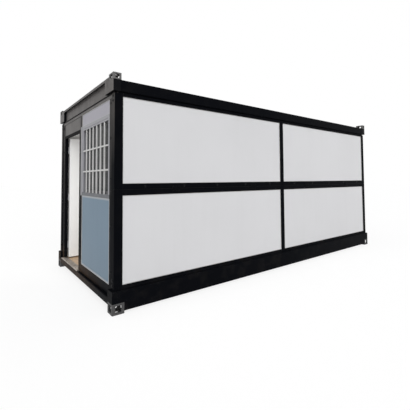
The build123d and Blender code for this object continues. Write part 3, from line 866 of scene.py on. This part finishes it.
class HOUSE_OT_sealant(bpy.types.Operator):
    """Runs sealant beads round the wall panels and along the roof sheet's sides"""

    bl_idname = "house.sealant"
    bl_label = "Panel sealant"

    def execute(self, context):
        radius = context.scene.house_fixings.sealant
        inset = radius * 0.5
        lift = inset * 0.4
        paths, half = [], MIDDLE_POST_HALF
        for side in (-1, 1):
            face = side * (PANEL_FACE + lift)
            for low, high in (LOWER_PANEL, SIDE_PANEL):
                for x0, x1 in ((low[0], -half), (half, high[0])):
                    paths.append(side_rect(face, x0, x1, low[2], high[2], inset))
        (low, high), half = REAR_PANEL, REAR_MIDDLE_HALF
        for y0, y1 in ((low[1], -half), (half, high[1])):
            paths.append(end_rect(high[0] + lift, y0, y1, low[2], high[2], inset))
        for low, high in (FRONT_PANEL, TRANSOM):
            paths.append(end_rect(low[0] - lift, low[1], high[1], low[2], high[2], inset))
        reach, level = ROOF_SIDE[1][0] - 0.02, ROOF_SHEET[1][2] + 0.003
        edge = -ROOF_SIDE[0][1] - BEAM_FLANGE - 0.002
        for y in (-edge, edge):
            paths.append([(-reach, y, level), (reach, y, level)])
        bead = beads("panel_sealant", bead_tree("Sealant bead"), sealant(), radius, paths)
        settle(bead)
        return {"FINISHED"}


class HOUSE_OT_gaskets(bpy.types.Operator):
    """Closes the wall joints, the glazing and the door stop with rubber"""

    bl_idname = "house.gaskets"
    bl_label = "Gaskets"

    def execute(self, context):
        tree, black = bead_tree("Rubber gasket"), rubber()
        joints = []
        depth, reach = 0.008, POST_END - 0.004
        for side in (-1, 1):
            y = side * (POST_FACE - depth)
            joints.append([(-reach, y, FOLD), (reach, y, FOLD)])
        depth, gap = 0.022, STILE_CENTRE + STILE_WIDTH / 2 + END_WALL_GAP / 2
        foot, head = BASE_SIDE[1][2] + 0.006, TRANSOM[1][2] + 0.045
        for end in (-1, 1):
            x = end * (WALL_FACE - depth)
            for y in (-gap, gap):
                joints.append([(x, y, foot), (x, y, head)])
        bedding = 0.0035
        for (y0, y1), x in zip(PANE_SPANS, PANE_DEPTHS):
            for face in (x - bedding, x + bedding):
                joints.append(end_rect(face, y0, y1, PANES[0][2], PANES[1][2]))
        x, half = -WALL_FACE + DOOR_STOP_DEPTH + 0.0005, DOOR_STOP_REACH / 2
        y0, y1 = DOOR_CLEAR[0] + half, DOOR_CLEAR[1] - half
        foot, head = SILL[1][2] + 0.002, DOOR_HEAD - half
        joints.append([(x, y0, foot), (x, y0, head), (x, y1, head), (x, y1, foot)])
        settle(beads("joint_gaskets", tree, black, 0.0035, joints))

        radius, reach = 0.009, 1.11
        level = ROOF_SIDE[0][2] - radius - 0.0005
        ends = (-WALL_FACE + 0.001, WALL_FACE - 0.001)
        tops = [[(x, -reach, level), (x, reach, level)] for x in ends]
        settle(beads("head_gaskets", tree, black, radius, tops))
        return {"FINISHED"}


class HOUSE_OT_bolts(bpy.types.Operator):
    """Bolts the end walls to the posts and the wall halves to their rails"""

    bl_idname = "house.bolts"
    bl_label = "Bolts"

    def execute(self, context):
        stile_levels = (0.42, 0.94, 1.46, 1.92, 2.32)
        post_levels, post_inset = (0.295, 0.350, 2.330, 2.385), 0.045
        rail_places, rail_level = (0.316, 0.863, 1.410, 1.957, 2.504), FOLD + 0.034
        walls, rails = [], []
        for end in (-1, 1):
            for side in (-1, 1):
                y = side * STILE_CENTRE
                walls += [((end * WALL_FACE, y, z), (end, 0, 0)) for z in stile_levels]
                y = side * (POST_FACE - post_inset)
                walls += [((end * POST_END, y, z), (end, 0, 0)) for z in post_levels]
        for side in (-1, 1):
            for place in rail_places:
                for x in (-place, place):
                    rails.append(((x, side * POST_FACE, rail_level), (0, side, 0)))
        tree = heads_tree("Hexagon bolts", 6, True)
        radius, height = context.scene.house_fixings.bolt, 0.008
        black = frame_paint("Bolt paint", context.scene.house_finish.frame_black, 0.10)
        settle(heads("wall_bolts", tree, black, radius, height, walls))
        settle(heads("rail_bolts", tree, black, radius, height, rails))
        return {"FINISHED"}


class HOUSE_OT_roof_screws(bpy.types.Operator):
    """Screws the roof sheet down along its ribs"""

    bl_idname = "house.roof_screws"
    bl_label = "Roof screws"

    def execute(self, context):
        low, high = ROOF_SHEET
        pitch, crest_share = (high[0] - low[0]) / ROOF_RIBS, 0.67
        places = []
        for rib in range(ROOF_RIBS):
            x = low[0] + (rib + crest_share) * pitch
            places += [((x, y, high[2]), (0, 0, 1)) for y in (-1.10, -0.55, 0.0, 0.55, 1.10)]
        tree = heads_tree("Roof screws", 6, True)
        zinc = bare_steel("Roof screw zinc", (0.50, 0.50, 0.51), EVEN)
        radius, height = 0.007, 0.006
        settle(heads("roof_screws", tree, zinc, radius, height, places))
        return {"FINISHED"}


class HOUSE_OT_hinge_screws(bpy.types.Operator):
    """Screws the hinges, the sill and the handle plates down"""

    bl_idname = "house.hinge_screws"
    bl_label = "Hinge, sill and handle screws"

    def execute(self, context):
        tree = heads_tree("Countersunk screws", 12, False)
        steel = bare_steel("Screw steel", (0.40, 0.40, 0.41), EVEN)
        black = frame_paint("Hinge screw paint", context.scene.house_finish.frame_black, 0.10)
        radius, height = context.scene.house_fixings.screw, 0.0018

        fixed = []
        x, y = FRAME_HINGE[0][0] + DOOR_HINGE_STEEL, FRAME_HINGE[1][1] - 0.010
        for level in HINGE_LEVELS:
            fixed += [((x, y, level - drop), (1, 0, 0)) for drop in (0.014, 0.041)]
        x, margin = -WALL_FACE + 0.020, 0.08
        for y in steps(DOOR_CLEAR[0] + margin, DOOR_CLEAR[1] - margin, 4):
            fixed.append(((x, y, SILL[1][2]), (0, 0, 1)))
        settle(heads("fixed_screws", tree, steel, radius, height, fixed))

        folds = []
        first, last = FOLD_HINGE[0][0], FOLD_HINGE[1][0] - FOLD_HINGE_LENGTH
        pitch = (last - first) / (FOLD_HINGES - 1)
        for side in (-1, 1):
            y = side * (POST_FACE + FOLD_HINGE_STEEL)
            for index in range(FOLD_HINGES):
                centre = first + FOLD_HINGE_LENGTH / 2 + index * pitch
                for x in (centre - 0.040, centre, centre + 0.040):
                    folds += [((x, y, FOLD + rise), (0, side, 0)) for rise in (-0.028, 0.028)]
        settle(heads("fold_screws", tree, black, radius, height, folds))

        hung = []
        x, y = LEAF[0][0] + 0.022, LEAF[1][1] + DOOR_HINGE_STEEL
        for level in HINGE_LEVELS:
            hung += [((x, y, level + rise), (0, 1, 0)) for rise in (0.015, 0.042)]
        x = HANDLE[1][0] - HANDLE_PLATE_WIDTH / 2
        for face, out in ((LEAF[0][1], -1), (LEAF[1][1], 1)):
            y = face + out * HANDLE_PLATE_STEEL
            hung += [((x, y, HANDLE_LEVEL + rise), (0, out, 0)) for rise in (-0.100, 0.100)]
        settle(heads("door_screws", tree, steel, radius, height, hung), "door")
        return {"FINISHED"}


class HOUSE_OT_door_fittings(bpy.types.Operator):
    """Ribs the sill and sets the strike plate in the door frame"""

    bl_idname = "house.door_fittings"
    bl_label = "Door fittings"

    def execute(self, context):
        y0, y1, level = DOOR_CLEAR[0] + 0.002, DOOR_CLEAR[1] - 0.002, SILL[1][2]
        rows = steps(SILL[0][0] + 0.005, -WALL_FACE + 0.044, 8)
        ridges = [[(x, y0, level), (x, y1, level)] for x in rows]
        treads = beads("sill_ridges", bead_tree("Sill ridges"), sill_metal(), 0.0028, ridges)
        settle(treads)

        width, height, hole, steel = 0.024, 0.150, 0.056, 0.002
        x, z = -WALL_FACE + 0.030, HANDLE_LEVEL + 0.03
        halves = ((width / 2, height / 2), (width * 0.26, hole / 2))
        rims = []
        for y in (DOOR_CLEAR[0], DOOR_CLEAR[0] + steel):
            rims += [side_rect(y, x - a, x + a, z - b, z + b) for a, b in halves]
        metal = bare_steel("Strike plate steel", (0.58, 0.58, 0.585), LEVEL)
        settle(pierced_plate("strike_plate", metal, rims, steel))
        return {"FINISHED"}


class HOUSE_OT_window_fittings(bpy.types.Operator):
    """Puts the crescent lock and the finger pull on the sashes"""

    bl_idname = "house.window_fittings"
    bl_label = "Window fittings"

    def execute(self, context):
        inside, middle = SASHES[1][0], (WINDOW[0][2] + WINDOW[1][2]) / 2
        meet = (PANE_SPANS[0][1] + PANE_SPANS[1][0]) / 2
        base = ((inside + 0.006, meet, middle), (0.012, 0.020, 0.070))
        lever = ((inside + 0.015, meet + 0.004, middle + 0.012), (0.010, 0.012, 0.046))
        pull = ((inside + 0.005, PANE_SPANS[1][1] + 0.020, middle), (0.010, 0.012, 0.110))
        zinc = bare_steel("Lock zinc", (0.52, 0.52, 0.53), EVEN)
        settle(soft_blocks("sash_locks", zinc, [base, lever, pull], 0.003))
        return {"FINISHED"}


class HOUSE_OT_welds(bpy.types.Operator):
    """Lays weld beads where castings, plates and beams meet"""

    bl_idname = "house.welds"
    bl_label = "Weld beads"

    def execute(self, context):
        lift = 0.001
        casting_end = ROOF_BLOCK[1][0] - ROOF_BLOCK_LENGTH - lift
        casting_seam = (0.066, 0.008)
        stub_inside, roof_stub, base_stub = 1.0990, (2.862, 2.893), (2.838, 2.892)
        recess_x, recess_y = 2.8595, 0.9740
        beam_face, beam_top = -ROOF_SIDE[0][1], ROOF_SIDE[1][2] + lift
        end_top, floor = ROOF_END[1][2] + lift, BASE_END[0][2] + BASE_END_DEPTH + lift
        foot, head = ROOF_SIDE[0][2] + 0.010, ROOF_END[1][2] - 0.012
        paths = []
        for end in (-1, 1):
            for side in (-1, 1):
                x, inner = end * casting_end, side * stub_inside
                recess = (end * recess_x, side * recess_y)
                paths += [
                    [(x, side * (beam_face - inset), beam_top) for inset in casting_seam],
                    [(end * place, inner, end_top) for place in roof_stub],
                    [(end * place, inner, floor) for place in base_stub],
                    [(*recess, foot), (*recess, head)],
                ]
        tree, radius = bead_tree("Weld bead", True), context.scene.house_fixings.weld
        black = frame_paint("Weld paint", context.scene.house_finish.frame_black, 0.10)
        settle(beads("weld_beads", tree, black, radius, paths))
        return {"FINISHED"}


class HOUSE_OT_stage(bpy.types.Operator):
    """Sets the floor, the soft light and the camera of the photograph"""

    bl_idname = "house.stage"
    bl_label = "Stage"

    def execute(self, context):
        context.scene.view_settings.view_transform = "Standard"
        stage, white = context.scene.house_stage, (1.0, 1.0, 1.0, 1.0)
        self.lay_floor(white)
        self.light(stage, white)
        self.set_camera(stage)
        return {"FINISHED"}

    def lay_floor(self, white):
        reach = 90.0
        corners = ((-reach, -reach), (reach, -reach), (reach, reach), (-reach, reach))
        ground = bpy.data.meshes.new("floor")
        ground.from_pydata([(*corner, 0.0) for corner in corners], [], [(0, 1, 2, 3)])
        floor = add_object("floor", ground)
        pale = Coat("Pale floor")
        seen, shown = pale.shown_rays()
        tone = pale.mix(seen, (0.80, 0.80, 0.80), (1.3, 1.3, 1.3))
        grey = pale.node("ShaderNodeBsdfDiffuse", {"Color": tone})
        glow = pale.node("ShaderNodeEmission", {"Color": white, "Strength": 1.0})
        both = pale.node("ShaderNodeMixShader", {0: shown * 0.80, 1: grey, 2: glow})
        ground.materials.append(pale.end_in(both))

    def light(self, stage, white):
        world = bpy.data.worlds.new("Studio")
        bpy.context.scene.world = world
        world.use_nodes = True
        sky = Graph(world.node_tree)
        sky.tree.nodes.clear()
        _, shown = sky.shown_rays()
        strength = shown + (1.0 - shown) * stage.sky
        glow = sky.node("ShaderNodeBackground", {"Color": white, "Strength": strength})
        sky.node("ShaderNodeOutputWorld", {"Surface": glow})

        for name, strength, spread, turn in (
            ("key", stage.key, 50.0, (62.0, 0.0, -20.0)),
            ("fill", stage.fill, 70.0, (58.0, 0.0, -100.0)),
        ):
            lamp = bpy.data.lights.new(name, "SUN")
            lamp.energy = strength
            lamp.angle = math.radians(spread)
            add_object(name, lamp, turn=turn)
        room = bpy.data.lights.new("room", "AREA")
        room.energy = stage.room
        room.size = 1.5
        add_object("room", room, (-1.8, -0.65, 1.20), (93.0, 0.0, 16.0))

    def set_camera(self, stage):
        eye = bpy.data.cameras.new("camera")
        eye.lens = stage.lens
        eye.sensor_width = 36.0
        eye.shift_x, eye.shift_y = 0.00639, -0.09184
        place = (-4.1160, -4.4331, 1.4421)
        yaw, pitch, roll = math.radians(52.719), math.radians(2.34), math.radians(-0.365)
        level = math.cos(pitch)
        ahead = Vector((math.cos(yaw) * level, math.sin(yaw) * level, math.sin(pitch)))
        right = Vector((math.sin(yaw), -math.cos(yaw), 0.0))
        up = right.cross(ahead)
        across = right * math.cos(roll) + up * math.sin(roll)
        above = up * math.cos(roll) - right * math.sin(roll)
        turn = Matrix((across, above, -ahead)).transposed().to_4x4()
        camera = add_object("camera", eye)
        camera.matrix_world = Matrix.Translation(place) @ turn
        bpy.context.scene.camera = camera


class HOUSE_PT_sidebar(bpy.types.Panel):
    """Lists the steps and the sizes of the house"""

    bl_idname = "HOUSE_PT_sidebar"
    bl_label = "Folding house"
    bl_space_type = "VIEW_3D"
    bl_region_type = "UI"
    bl_category = "House"

    def draw(self, context):
        for operator in OPERATORS:
            self.layout.operator(operator.bl_idname)
        for group, kind in GROUPS.items():
            box = self.layout.box()
            for name in kind.__annotations__:
                box.prop(getattr(context.scene, group), name)


GROUPS = {
    "house_finish": HouseFinish,
    "house_bars": HouseBars,
    "house_fixings": HouseFixings,
    "house_stage": HouseStage,
}
OPERATORS = (
    HOUSE_OT_finishes,
    HOUSE_OT_window_bars,
    HOUSE_OT_window_fittings,
    HOUSE_OT_panel_trim,
    HOUSE_OT_sealant,
    HOUSE_OT_gaskets,
    HOUSE_OT_bolts,
    HOUSE_OT_roof_screws,
    HOUSE_OT_hinge_screws,
    HOUSE_OT_door_fittings,
    HOUSE_OT_welds,
    HOUSE_OT_stage,
)
CLASSES = (*GROUPS.values(), *OPERATORS, HOUSE_PT_sidebar)


def register():
    for one in CLASSES:
        bpy.utils.register_class(one)
    for name, group in GROUPS.items():
        setattr(bpy.types.Scene, name, PointerProperty(type=group))


def unregister():
    for name in GROUPS:
        delattr(bpy.types.Scene, name)
    for one in reversed(CLASSES):
        bpy.utils.unregister_class(one)


def main():
    register()
    bpy.ops.house.finishes()
    bpy.ops.house.window_bars()
    bpy.ops.house.window_fittings()
    bpy.ops.house.panel_trim()
    bpy.ops.house.sealant()
    bpy.ops.house.gaskets()
    bpy.ops.house.bolts()
    bpy.ops.house.roof_screws()
    bpy.ops.house.hinge_screws()
    bpy.ops.house.door_fittings()
    bpy.ops.house.welds()
    bpy.ops.house.stage()


if __name__ == "__main__":
    main()
